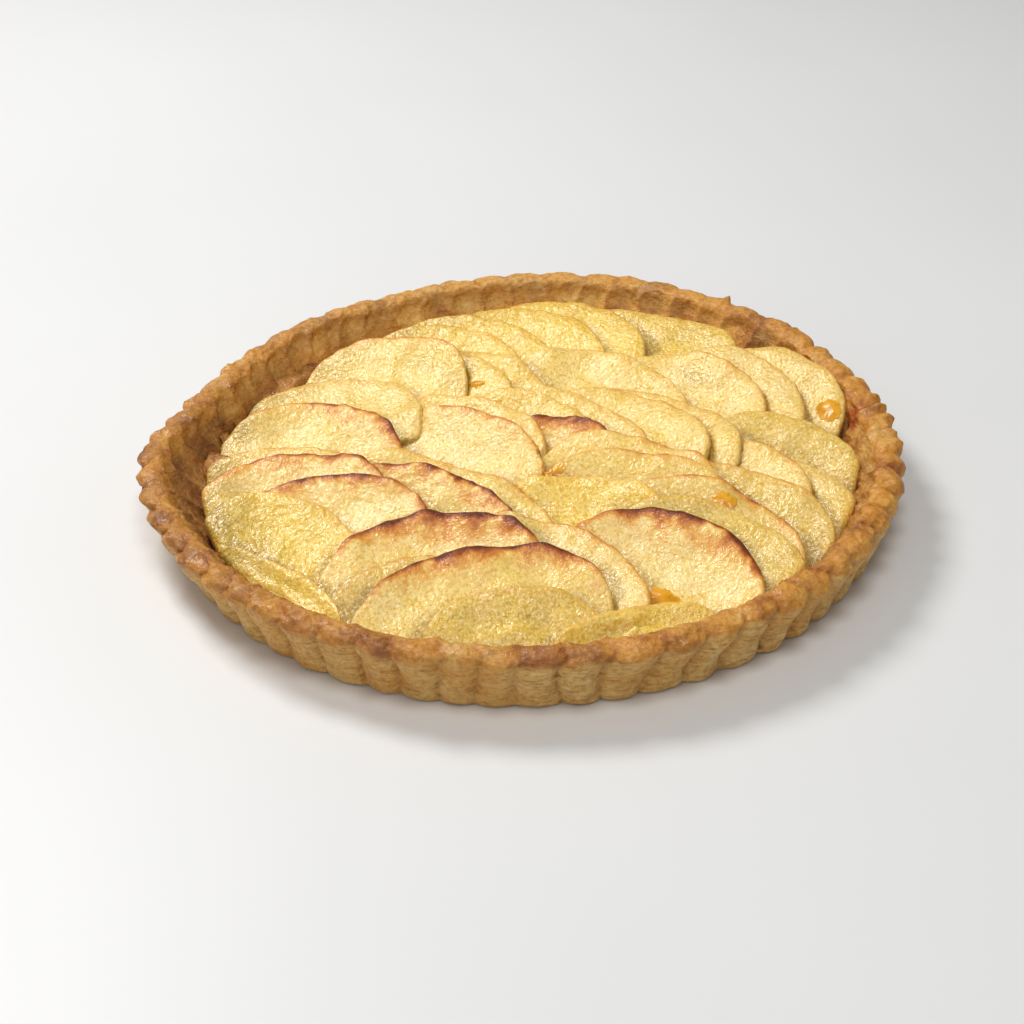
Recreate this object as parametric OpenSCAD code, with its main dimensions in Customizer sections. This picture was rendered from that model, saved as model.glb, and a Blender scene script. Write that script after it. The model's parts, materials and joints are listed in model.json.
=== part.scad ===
// Apple tart: a fluted shortcrust shell, a thin spiced filling, thin half-moon apple
// slices laid over each other from the back row to the front, and pools of apricot glaze.
// Millimetres, +Z up. The origin is the centre of the underside of the base.
// +Y is the back of the tart, where the first row of slices was laid.

/* [Pastry shell] */
// outside radius of the shell just under its rim
rim_radius = 118; // [112:0.5:124]
// outside radius of the shell at the bottom of its wall
base_radius = 112; // [106:0.5:114]
// thickness of the pastry base
base_thickness = 4; // [3:0.5:5]
// height at which the rim starts to round over
wall_height = 20.5; // [19:0.5:23]
// height of the rounded rim above that
crest_height = 3; // [2:0.5:4]
// number of flutes round the wall
flute_count = 59; // [40:1:70]
// how far each flute stands out and in from the mean wall
flute_depth = 0.8; // [0.3:0.1:1.5]
// how far the rim wanders from a true circle, as a share of the hand-set wander
wander = 1; // [0:0.1:1.4]

/* [Filling] */
// height of the top of the filling
filling_top = 6.5; // [5.5:0.5:9]
// gap kept between pieces that only touch
clearance = 0.15; // [0.05:0.05:0.4]

/* [Apple slices] */
// thickness of one baked slice
slice_thickness = 2; // [1.6:0.2:2.6]
// how full the half-moon outline is: 2 is an ellipse, more is squarer
fullness = 2.4; // [2:0.1:3]
// how far the straight edge of a slice bows out
straight_bow = 4; // [2:0.5:6]

/* [Apricot glaze] */
// thickness of a pool of glaze
glaze_thickness = 0.9; // [0.6:0.1:1.6]

/* [Hidden] */
$fn = 96;

total_height = wall_height + crest_height;
// inside radius of the wall at the base, where the rim starts, and at the top
inner_low = base_radius - 10.5;
inner_mid = rim_radius - 9;
inner_top = rim_radius - 6;
outline_points = 26;
flute_points = 8;

// Each slice: x and y of the middle of its straight edge, the direction of that edge in
// degrees, half its length, its depth, how much its curved edge is propped up, and how far
// its outline leans along its length.
// They are in the order in which they were laid, so a later slice lies on earlier ones.
SLICES = [
    [40, 68, -42, 34, 33, 7, 0], // 1a
    [7, 70, -28, 36, 35, 5, 0], // 1b
    [-6, 66, -28, 35, 33, 1, 0], // 1c
    [-24, 64, -32, 36, 31, 0, 0], // 1d
    [-33, 60, -26, 33, 30, 0, 0], // 1e
    [76, 30, -52, 32, 30, 6, 0], // 2a
    [71, 26, -50, 34, 33, 1, 0], // 2b
    [58, 27, -62, 36, 32, 0, 0], // 2c
    [44, 26, -48, 36, 34, 0, 0], // 2d
    [18, 32, -42, 38, 33, 0, 0], // 2e
    [-20, 40, -50, 34, 27, 0, 0], // 2f
    [-36, 44, -42, 36, 28, 0, 0], // 2g
    [-49, 50, -16, 31, 27, 2, 0], // 2h
    [75, -10, -32, 31, 26, 3, 0], // 3a
    [71, -29.5, -42, 34, 24, 3, 0], // 3b
    [54, -20, -38, 36, 27, 0, 0], // 3c
    [34, 8, -42, 38, 28, 0, 0], // 3dA
    [25, 6, -44, 36, 29, 0, 0], // 3dB
    [8, 6, -48, 35, 27, 0, 0], // 3dC
    [-6, 5, -46, 34, 29, 0, 0], // 3dD
    [4, -9, -22, 26, 28, 0, 0], // 4e
    [-26, 10, -42, 36, 26, 1, 0], // 3dE
    [-30, -4, -44, 38, 31, 1, 0], // 3e
    [-68, 24, -10, 34, 33, 1, 0.1], // 3f
    [-74, 2.5, -28, 34, 34, 1, 0], // 3g
    [57, -42, -33, 36, 28, 1, 0], // 4h
    [30, -23, -36, 34, 24, 1, 0], // 4f0
    [30, -31, -22, 32, 24, 1, 0], // 4f
    [48, -54, -36, 35, 28, 1, 0], // 4i
    [10, -44, -14, 33, 28, 0, 0], // 4g
    [46, -67, -34, 36, 30, 1, 0], // 4j
    [-40, -24, -38, 34, 27, 0, 0], // 4k
    [-24, -38, -44, 34, 27, 0, 0], // 4l
    [-77, -16, -18, 34, 26, 1, 0], // 4a0
    [-38, -40, -40, 38, 28, 1, 0.1], // 4b
    [-78, -35, -10, 35, 37, 1, 0.1], // 4a
    [-68, -43, -22, 33, 31, 1, 0.35], // 4c
    [-79, -57, -24, 30, 32, 1, -0.15], // 4d
    [32, -73, -27, 35, 32, 1, 0], // 5a
    [-3, -74, -40, 38, 33, 0, 0], // 5b
    [-29, -75, -9, 37, 38, 0, 0], // 5c
    [-31, -89, -4, 31, 30, 1, 0], // 5d
    [-16, -91, 3, 39, 33, 1, 0.25], // 5e
    [-6, -99, 2, 28, 21, 1, 0.1], // 5f
    [30, -101, 17, 28, 15, 4, 0.1], // 5g
    [-79, -72, -38, 31, 13, 4, -0.3], // 5h
];

// Each pool of glaze: x, y, its half-length and half-width, its direction, and the number
// of the slice in SLICES that it lies on.
POOLS = [
    [33.5, -76.5, 7, 4.5, -60, 38], // front
    [8, -11.5, 4, 2.5, 20, 20], // middle
    [-68.7, 10, 3, 2, 0, 24], // left
    [-16, 49, 3.5, 2, -20, 11], // back
    [99, 19, 6, 4, -70, 6], // right
    [59, -36.5, 5, 3, -25, 28], // side
];

// how far the rim stands out or in by direction: the angle, then the distance
WANDER = [
    [-180, 4.6], [-171, 4.4], [-158, 2.4], [-130, 0.3], [-90, 0], [-50, 0.2], [-15, 0],
    [5, -0.4], [20, -0.6], [40, 0.8], [58, 1.4], [70, 3], [84, 1.8], [100, 0],
    [116, -1.2], [127, -0.5], [147, -1.6], [159, -2.2], [168, -0.6], [174, 2.4], [180, 4.6]
];

function wander_at(t) = wander * lookup(t, WANDER);

// outline of the fluted wall at radius r
function fluted(r) = [
    for (i = [0 : flute_count * flute_points - 1])
        let (
            t = 360 * i / (flute_count * flute_points) - 180,
            lobe = flute_depth * (2 * abs(sin(t * flute_count / 2)) - 1),
            q = r + lobe + wander_at(t)
        )
        [q * cos(t), q * sin(t)]
];

// a half-moon outline with its straight edge along X: half-length, depth and lean
function moon(a, b, k) = [
    for (i = [0 : outline_points - 1])
        let (
            t = 360 * (i + 0.5) / outline_points,
            c = cos(t),
            u = a * sign(c) * pow(abs(c), 2 / fullness),
            v = (t < 180 ? b : straight_bow) * sin(t)
        )
        [u + k * v, v]
];

function local(s, x, y) =
    let (dx = x - s[0], dy = y - s[1])
    [dx * cos(s[2]) + dy * sin(s[2]), dy * cos(s[2]) - dx * sin(s[2])];
function world(s, u, v) = [
    s[0] + u * cos(s[2]) - v * sin(s[2]),
    s[1] + u * sin(s[2]) + v * cos(s[2])
];
function covers(s, p) =
    let (b = p[1] > 0 ? s[4] : straight_bow)
    pow(abs((p[0] - s[6] * p[1]) / s[3]), fullness) + pow(abs(p[1] / b), 2) <= 1;
function total(v) = v * [for (x = v) 1];

// A plane is [height over the middle of the straight edge, slope along it, slope across it].
function plane_z(f, p) = f[0] + f[1] * p[0] + f[2] * p[1];

// height of the stack at a point, once the slices in laid are down
function stack_at(w, laid) = max([
    filling_top,
    for (k = [0 : 1 : len(laid) - 1])
        let (p = local(SLICES[k], w[0], w[1]))
        if (covers(SLICES[k], p)) plane_z(laid[k], p)
]);

// points of a slice, as shares of its half-length and depth, where it feels what is below
FEEL = [
    [-0.8, 0.1], [-0.8, 0.35], [-0.45, 0.05], [-0.45, 0.72], [0, -0.05], [0, 0.45],
    [0, 0.88], [0.45, 0.05], [0.45, 0.72], [0.8, 0.1], [0.8, 0.35]
];

// the top plane of slice s when it is laid on the slices before it: a least squares fit
function settle(s, laid) =
    let (
        pts = [for (f = FEEL) [f[0] * s[3] + s[6] * f[1] * s[4], f[1] * s[4]]],
        ws = [for (p = pts) world(s, p[0], p[1])],
        hs = [for (w = ws) stack_at(w, laid)],
        share = [for (w = ws) norm(w) < inner_low + 1.5 ? 1 : 0.000001],
        n = total(share),
        su = total([for (i = [0 : len(pts) - 1]) share[i] * pts[i][0]]),
        sv = total([for (i = [0 : len(pts) - 1]) share[i] * pts[i][1]]),
        suu = total([for (i = [0 : len(pts) - 1]) share[i] * pts[i][0] * pts[i][0]]),
        suv = total([for (i = [0 : len(pts) - 1]) share[i] * pts[i][0] * pts[i][1]]),
        svv = total([for (i = [0 : len(pts) - 1]) share[i] * pts[i][1] * pts[i][1]]),
        sh = total([for (i = [0 : len(pts) - 1]) share[i] * hs[i]]),
        suh = total([for (i = [0 : len(pts) - 1]) share[i] * pts[i][0] * hs[i]]),
        svh = total([for (i = [0 : len(pts) - 1]) share[i] * pts[i][1] * hs[i]]),
        c0 = [n, su, sv],
        c1 = [su, suu, suv],
        c2 = [sv, suv, svv],
        h = [sh, suh, svh],
        d = c0 * cross(c1, c2)
    )
    [
        h * cross(c1, c2) / d + slice_thickness + 0.15 * s[5] + 0.2,
        c0 * cross(h, c2) / d,
        c0 * cross(c1, h) / d + 0.85 * s[5] / s[4]
    ];
function lay(i, laid) =
    i >= len(SLICES) ? laid : lay(i + 1, concat(laid, [settle(SLICES[i], laid)]));
PLANES = lay(0, []);

// whether slice j, laid after slice i, would press into it
function presses(i, j) =
    norm([SLICES[i][0] - SLICES[j][0], SLICES[i][1] - SLICES[j][1]])
        < SLICES[i][3] + SLICES[j][3]
    && len([
        for (a = [-0.95 : 0.19 : 0.95], b = [-0.1 : 0.1 : 1])
            let (
                r = SLICES[i],
                pi = [a * r[3] + r[6] * b * r[4], b * r[4]],
                w = world(r, pi[0], pi[1]),
                pj = local(SLICES[j], w[0], w[1])
            )
            if (
                covers(SLICES[j], pj * 0.97)
                && plane_z(PLANES[j], pj) - slice_thickness
                    < plane_z(PLANES[i], pi) + 2 * clearance
            ) 1
    ]) > 0;

module place(s) {
    translate([s[0], s[1], 0])
    rotate([0, 0, s[2]])
    children();
}

// a block whose lower or upper face is the plane f, lowered by drop
module above(f, drop, height) {
    across = atan(f[2]);
    along = -atan(f[1] * cos(across));
    translate([0, 0, f[0] - drop])
    rotate([across, 0, 0])
    rotate([0, along, 0])
    translate([-90, -90, 0])
    cube([180, 180, height]);
}

module slice(i) {
    s = SLICES[i];
    f = PLANES[i];
    steep = sqrt(1 + f[1] * f[1] + f[2] * f[2]);
    difference() {
        intersection() {
            place(s)
            intersection() {
                linear_extrude(height = 60) polygon(moon(s[3], s[4], s[6]));
                above(f, slice_thickness, slice_thickness / steep);
            }
            cavity(clearance);
        }
        for (j = [i + 1 : 1 : len(SLICES) - 1]) {
            if (presses(i, j)) {
                t = SLICES[j];
                place(t)
                intersection() {
                    translate([0, 0, -10])
                    linear_extrude(height = 80)
                    polygon(moon(t[3] + clearance, t[4] + clearance, t[6]));
                    above(PLANES[j], slice_thickness + clearance, 60);
                }
            }
        }
    }
}

// the room inside the shell, kept smaller all round by gap
module cavity(gap) {
    rotate_extrude()
    polygon([
        [0, base_thickness + gap],
        [inner_low - gap, base_thickness + gap],
        [inner_mid - gap, wall_height],
        [inner_top - gap, total_height + 0.01],
        [inner_top - gap, 60],
        [0, 60]
    ]);
}

module pastry_shell() {
    color("peru")
    difference() {
        union() {
            cylinder(h = 2, r = base_radius - flute_depth - 2.4);
            translate([0, 0, 0.8])
            linear_extrude(height = wall_height - 0.8, scale = rim_radius / base_radius)
            polygon(fluted(base_radius));
            translate([0, 0, wall_height])
            linear_extrude(height = crest_height, scale = (rim_radius - 2.5) / rim_radius)
            scale([rim_radius / base_radius, rim_radius / base_radius, 1])
            polygon(fluted(base_radius));
        }
        cavity(0);
    }
}

module filling() {
    color("saddlebrown")
    intersection() {
        cavity(clearance);
        cylinder(h = filling_top, r = rim_radius);
    }
}

module pool(k) {
    p = POOLS[k];
    s = SLICES[p[5]];
    f = PLANES[p[5]];
    steep = sqrt(1 + f[1] * f[1] + f[2] * f[2]);
    intersection() {
        translate([p[0], p[1], 0])
        rotate([0, 0, p[4]])
        linear_extrude(height = 60)
        polygon([
            for (t = [0 : 20 : 340]) [p[2] * cos(t), p[3] * sin(t)]
        ]);
        place(s)
        above(f, -clearance, glaze_thickness / steep);
        cavity(clearance);
    }
}

module apple_1a() {
    color("khaki") slice(0);
}

module apple_1b() {
    color("palegoldenrod") slice(1);
}

module apple_1c() {
    color("wheat") slice(2);
}

module apple_1d() {
    color("moccasin") slice(3);
}

module apple_1e() {
    color("lemonchiffon") slice(4);
}

module apple_2a() {
    color("burlywood") slice(5);
}

module apple_2b() {
    color("khaki") slice(6);
}

module apple_2c() {
    color("palegoldenrod") slice(7);
}

module apple_2d() {
    color("wheat") slice(8);
}

module apple_2e() {
    color("moccasin") slice(9);
}

module apple_2f() {
    color("lemonchiffon") slice(10);
}

module apple_2g() {
    color("burlywood") slice(11);
}

module apple_2h() {
    color("khaki") slice(12);
}

module apple_3a() {
    color("palegoldenrod") slice(13);
}

module apple_3b() {
    color("wheat") slice(14);
}

module apple_3c() {
    color("moccasin") slice(15);
}

module apple_3dA() {
    color("lemonchiffon") slice(16);
}

module apple_3dB() {
    color("burlywood") slice(17);
}

module apple_3dC() {
    color("khaki") slice(18);
}

module apple_3dD() {
    color("palegoldenrod") slice(19);
}

module apple_4e() {
    color("wheat") slice(20);
}

module apple_3dE() {
    color("moccasin") slice(21);
}

module apple_3e() {
    color("lemonchiffon") slice(22);
}

module apple_3f() {
    color("burlywood") slice(23);
}

module apple_3g() {
    color("khaki") slice(24);
}

module apple_4h() {
    color("palegoldenrod") slice(25);
}

module apple_4f0() {
    color("wheat") slice(26);
}

module apple_4f() {
    color("moccasin") slice(27);
}

module apple_4i() {
    color("lemonchiffon") slice(28);
}

module apple_4g() {
    color("burlywood") slice(29);
}

module apple_4j() {
    color("khaki") slice(30);
}

module apple_4k() {
    color("palegoldenrod") slice(31);
}

module apple_4l() {
    color("wheat") slice(32);
}

module apple_4a0() {
    color("moccasin") slice(33);
}

module apple_4b() {
    color("lemonchiffon") slice(34);
}

module apple_4a() {
    color("burlywood") slice(35);
}

module apple_4c() {
    color("khaki") slice(36);
}

module apple_4d() {
    color("palegoldenrod") slice(37);
}

module apple_5a() {
    color("wheat") slice(38);
}

module apple_5b() {
    color("moccasin") slice(39);
}

module apple_5c() {
    color("lemonchiffon") slice(40);
}

module apple_5d() {
    color("burlywood") slice(41);
}

module apple_5e() {
    color("khaki") slice(42);
}

module apple_5f() {
    color("palegoldenrod") slice(43);
}

module apple_5g() {
    color("wheat") slice(44);
}

module apple_5h() {
    color("moccasin") slice(45);
}

module glaze_front() {
    color("darkorange") pool(0);
}

module glaze_middle() {
    color("darkorange") pool(1);
}

module glaze_left() {
    color("darkorange") pool(2);
}

module glaze_back() {
    color("darkorange") pool(3);
}

module glaze_right() {
    color("darkorange") pool(4);
}

module glaze_side() {
    color("darkorange") pool(5);
}

pastry_shell();
filling();
apple_1a();
apple_1b();
apple_1c();
apple_1d();
apple_1e();
apple_2a();
apple_2b();
apple_2c();
apple_2d();
apple_2e();
apple_2f();
apple_2g();
apple_2h();
apple_3a();
apple_3b();
apple_3c();
apple_3dA();
apple_3dB();
apple_3dC();
apple_3dD();
apple_4e();
apple_3dE();
apple_3e();
apple_3f();
apple_3g();
apple_4h();
apple_4f0();
apple_4f();
apple_4i();
apple_4g();
apple_4j();
apple_4k();
apple_4l();
apple_4a0();
apple_4b();
apple_4a();
apple_4c();
apple_4d();
apple_5a();
apple_5b();
apple_5c();
apple_5d();
apple_5e();
apple_5f();
apple_5g();
apple_5h();
glaze_front();
glaze_middle();
glaze_left();
glaze_back();
glaze_right();
glaze_side();
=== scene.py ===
import json
import math

import bmesh
import bpy
import numpy as np
from mathutils import Matrix, Vector, noise
from mathutils.geometry import convex_hull_2d


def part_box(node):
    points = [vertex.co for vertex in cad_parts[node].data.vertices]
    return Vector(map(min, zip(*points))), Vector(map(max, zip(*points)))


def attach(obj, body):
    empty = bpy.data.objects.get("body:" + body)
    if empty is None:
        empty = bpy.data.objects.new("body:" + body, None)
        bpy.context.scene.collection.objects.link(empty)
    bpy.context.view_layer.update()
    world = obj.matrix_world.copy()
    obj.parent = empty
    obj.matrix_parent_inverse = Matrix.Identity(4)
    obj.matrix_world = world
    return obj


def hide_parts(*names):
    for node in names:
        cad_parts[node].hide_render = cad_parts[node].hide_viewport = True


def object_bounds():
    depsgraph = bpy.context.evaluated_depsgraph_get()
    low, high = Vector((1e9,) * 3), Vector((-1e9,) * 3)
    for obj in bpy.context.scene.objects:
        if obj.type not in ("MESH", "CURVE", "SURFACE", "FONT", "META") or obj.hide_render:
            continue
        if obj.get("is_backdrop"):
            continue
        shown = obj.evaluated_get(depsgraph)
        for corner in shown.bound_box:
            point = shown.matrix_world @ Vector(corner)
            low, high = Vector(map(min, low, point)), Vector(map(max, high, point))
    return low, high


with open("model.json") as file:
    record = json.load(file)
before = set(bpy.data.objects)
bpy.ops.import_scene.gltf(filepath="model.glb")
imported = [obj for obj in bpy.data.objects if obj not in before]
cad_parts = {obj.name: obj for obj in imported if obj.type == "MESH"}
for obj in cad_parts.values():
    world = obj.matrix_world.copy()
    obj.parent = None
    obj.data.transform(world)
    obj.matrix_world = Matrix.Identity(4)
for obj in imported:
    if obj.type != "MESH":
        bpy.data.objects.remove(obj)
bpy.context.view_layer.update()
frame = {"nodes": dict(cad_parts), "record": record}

bl_info = {
    "name": "Apple tart",
    "version": (1, 0, 0),
    "blender": (4, 5, 0),
    "location": "3D View > Sidebar > Tart",
    "description": "Builds a fluted apple tart with overlapping baked slices",
    "category": "Object",
}

MM = 0.001    # metres in a millimetre; the pieces are worked out in millimetres


# ---------------------------------------------------------------- shared helpers


def linear(hexes):
    """An sRGB hex colour such as "e8c65e" as linear red, green, blue and alpha."""
    out = []
    for i in (0, 2, 4):
        c = int(hexes[i:i + 2], 16) / 255
        out.append(c / 12.92 if c <= 0.04045 else ((c + 0.055) / 1.055) ** 2.4)
    return (*out, 1.0)


def colour(name, text, hexes):
    """A colour property whose default is the sRGB hex colour."""
    return bpy.props.FloatVectorProperty(
        name=name, description=text, default=linear(hexes), size=4, subtype="COLOR",
        min=0.0, max=1.0)


def length(name, text, mm, low=0.0, high=0.05):
    """A length property whose default is given in millimetres."""
    return bpy.props.FloatProperty(
        name=name, description=text, default=mm * MM, min=low, max=high, precision=5,
        unit="LENGTH", subtype="DISTANCE")


def smooth(a, b, x):
    """0 below a, 1 above b, and an even curve between."""
    t = np.clip((x - a) / (b - a), 0.0, 1.0)
    return t * t * (3 - 2 * t)


def rough(x, y, z, size, seed):
    """Smooth noise from -1 to 1 whose lumps are about size across, all in mm."""
    return noise.noise(Vector((x / size + seed, y / size - 2 * seed, z / size + 3.1 * seed)))


def node_box_mm(name):
    """A CAD node's lowest and highest corners in millimetres."""
    low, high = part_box(name)
    return np.array(low) * 1000, np.array(high) * 1000


def finish_piece(bm, name, material, slot, *nodes):
    """Turns a bmesh in millimetres into a finished piece that stands for CAD nodes."""
    bmesh.ops.scale(bm, vec=(MM, MM, MM), verts=bm.verts)
    mesh = bpy.data.meshes.new(name)
    bm.to_mesh(mesh)
    bm.free()
    for face in mesh.polygons:
        face.use_smooth = True
    mesh.materials.append(material)
    piece = bpy.data.objects.new(name, mesh)
    bpy.context.scene.collection.objects.link(piece)
    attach(piece, "root")
    if nodes:
        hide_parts(*nodes)
    return piece


# ---------------------------------------------------------------- materials


def add_node(mat, kind, inputs=None, out=0, stops=(), **settings):
    """Adds a node and returns one of its outputs. Inputs are linked to an output or set to
    a value; stops are a colour ramp's (position, colour or grey)."""
    node = mat.node_tree.nodes.new(kind)
    for key, value in settings.items():
        setattr(node, key, value)
    for key, value in (inputs or {}).items():
        if isinstance(value, bpy.types.NodeSocket):
            mat.node_tree.links.new(value, node.inputs[key])
        else:
            node.inputs[key].default_value = value
    if stops:
        marks = node.color_ramp.elements
        while len(marks) < len(stops):
            marks.new(0.5)
        for mark, (place, shade) in zip(marks, stops):
            mark.position = place
            mark.color = (shade, shade, shade, 1.0) if isinstance(shade, float) else shade
    return node.outputs[out] if node.outputs else None


def new_material(name):
    """An empty node material, and the Object coordinates that its patterns read."""
    mat = bpy.data.materials.new(name)
    mat.use_nodes = True
    mat.node_tree.nodes.clear()
    return mat, add_node(mat, "ShaderNodeTexCoord", out="Object")


def per_metre(mm):
    """The scale of a pattern whose features are about mm across, in metres."""
    return 1 / (mm * MM)


def baked_shortcrust(props):
    # Shortcrust: flour and butter dough pressed into a fluted tin and baked. The eye sees
    # a matte golden wall with thin flaky layers, a darker toasted rim, and wet patches
    # where fruit glaze was brushed over it.
    mat, place = new_material("Baked shortcrust")
    toast, inside, groove_shade, soak, sticky = (
        add_node(mat, "ShaderNodeAttribute", out="Fac", attribute_name=name)
        for name in ("toast", "inside", "groove_shade", "soak", "jam"))
    # layers of dough lie flat, about 1.8 mm apart, and run several millimetres along the wall
    flat = add_node(mat, "ShaderNodeMapping", {
        "Vector": place, "Scale": (per_metre(5.88), per_metre(5.88), per_metre(1.786))})
    layers = add_node(mat, "ShaderNodeTexNoise", {
        "Vector": flat, "Scale": 1.0, "Detail": 3.0, "Roughness": 0.6, "Distortion": 1.3},
        out="Fac")
    # patches that browned more or less are about 13 mm, blisters about 4 mm, and crumbs,
    # drawn coarser than the real ones so that they show, 1.6 mm
    patches = add_node(mat, "ShaderNodeTexNoise", {
        "Vector": place, "Scale": per_metre(13.33), "Detail": 3.0, "Roughness": 0.55},
        out="Fac")
    blisters = add_node(mat, "ShaderNodeTexNoise", {
        "Vector": place, "Scale": per_metre(3.846), "Detail": 2.0, "Roughness": 0.5},
        out="Fac")
    crumbs = add_node(mat, "ShaderNodeTexNoise", {
        "Vector": place, "Scale": per_metre(1.613), "Detail": 3.0, "Roughness": 0.7},
        out="Fac")
    body = add_node(mat, "ShaderNodeValToRGB", {"Fac": layers}, stops=(
        (0.3, props.crust_shadow), (0.44, props.crust_wall), (0.66, props.crust_pale)))
    golden = add_node(mat, "ShaderNodeValToRGB", {"Fac": patches}, stops=(
        (0.42, 0.0), (0.66, 0.6)))
    toasted = add_node(mat, "ShaderNodeValToRGB", {"Fac": patches}, stops=(
        (0.34, props.crust_brown), (0.46, props.crust_toast), (0.6, props.crust_gold),
        (0.72, props.crust_wall)))
    # the inner side: pale where no syrup soaked in, brown where the syrup soaked in; the pale
    # colours are also lightened to paint the light that falls on the back of the inner wall
    dry_and_lit = add_node(mat, "ShaderNodeValToRGB", {"Fac": patches}, stops=(
        (0.34, linear("cc8c3e")), (0.5, linear("eaae54")), (0.66, linear("f6cc72"))))
    wet = add_node(mat, "ShaderNodeValToRGB", {"Fac": patches}, stops=(
        (0.34, linear("6e4020")), (0.5, linear("94602c")), (0.66, linear("b47a3a"))))
    inner = add_node(mat, "ShaderNodeMix", {0: soak, 6: dry_and_lit, 7: wet}, out=2, data_type="RGBA")
    dark_crumbs = add_node(mat, "ShaderNodeValToRGB", {"Fac": crumbs}, stops=(
        (0.38, 0.34), (0.52, 0.0)))
    pale_crumbs = add_node(mat, "ShaderNodeValToRGB", {"Fac": crumbs}, stops=(
        (0.56, 0.0), (0.7, 0.28)))
    # what lies over the plain dough, one on another: how much of it, its colour, its blend
    # the flute grooves are darkened with painted shade
    for share, shade, blend in (
            (golden, props.crust_gold, "MIX"), (toast, toasted, "MIX"),
            (inside, inner, "MIX"), (sticky, linear("a85410"), "MIX"),
            (groove_shade, linear("c08a4c"), "MULTIPLY"), (dark_crumbs, linear("b07c40"), "MULTIPLY"),
            (pale_crumbs, linear("f2cf92"), "MIX")):
        body = add_node(mat, "ShaderNodeMix", {0: share, 6: body, 7: shade}, out=2,
                        data_type="RGBA", blend_type=blend)
    # the toasted rim shines where its blisters caught the glaze
    caught = add_node(mat, "ShaderNodeValToRGB", {"Fac": blisters}, stops=(
        (0.48, 0.0), (0.6, 1.0)))
    shine = add_node(mat, "ShaderNodeMath", {0: caught, 1: toast}, operation="MULTIPLY")
    roughness = add_node(mat, "ShaderNodeMapRange", {
        "Value": shine, "To Min": 0.56, "To Max": 0.28})
    bump = add_node(mat, "ShaderNodeBump", {
        "Height": crumbs, "Strength": 0.55, "Distance": 0.0008})
    bump = add_node(mat, "ShaderNodeBump", {
        "Height": layers, "Normal": bump, "Strength": 0.4, "Distance": 0.0012})
    bump = add_node(mat, "ShaderNodeBump", {
        "Height": blisters, "Normal": bump, "Strength": 0.6, "Distance": 0.0016})
    shader = add_node(mat, "ShaderNodeBsdfPrincipled", {
        "Base Color": body, "Roughness": roughness, "Normal": bump, "IOR": 1.45,
        "Subsurface Weight": 0.06, "Subsurface Radius": (0.003, 0.0015, 0.0006),
        "Subsurface Scale": 1.0})
    add_node(mat, "ShaderNodeOutputMaterial", {"Surface": shader})
    return mat


def spiced_filling(props):
    # Cinnamon and grated apple baked under the slices: moist, grainy, syrupy at the wall.
    mat, place = new_material("Cinnamon filling")
    syrup = add_node(mat, "ShaderNodeAttribute", out="Fac", attribute_name="syrup")
    # grains of sugar and spice are about 1.25 mm, and they clot into lumps of about 8 mm
    grains = add_node(mat, "ShaderNodeTexVoronoi", {
        "Vector": place, "Scale": per_metre(1.25), "Randomness": 1.0}, out="Distance")
    clots = add_node(mat, "ShaderNodeTexNoise", {
        "Vector": place, "Scale": per_metre(7.69), "Detail": 4.0, "Roughness": 0.65},
        out="Fac")
    dark = add_node(mat, "ShaderNodeValToRGB", {"Fac": clots}, stops=(
        (0.34, linear("4a2418")), (0.46, props.filling), (0.6, linear("a8743f"))))
    syrupy = add_node(mat, "ShaderNodeValToRGB", {"Fac": clots}, stops=(
        (0.38, linear("8a5426")), (0.56, linear("bd8443"))))
    body = add_node(mat, "ShaderNodeMix", {0: syrup, 6: dark, 7: syrupy},
                    out=2, data_type="RGBA")
    speckle = add_node(mat, "ShaderNodeValToRGB", {"Fac": grains}, stops=(
        (0.0, 0.4), (0.4, 0.0)))
    body = add_node(mat, "ShaderNodeMix", {0: speckle, 6: body, 7: linear("cfa071")},
                    out=2, data_type="RGBA")
    roughness = add_node(mat, "ShaderNodeValToRGB", {"Fac": clots}, stops=(
        (0.4, 0.22), (0.6, 0.5)))
    bump = add_node(mat, "ShaderNodeBump", {
        "Height": grains, "Strength": 0.5, "Distance": 0.0008})
    shader = add_node(mat, "ShaderNodeBsdfPrincipled", {
        "Base Color": body, "Roughness": roughness, "Normal": bump, "IOR": 1.42})
    add_node(mat, "ShaderNodeOutputMaterial", {"Surface": shader})
    return mat


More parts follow.
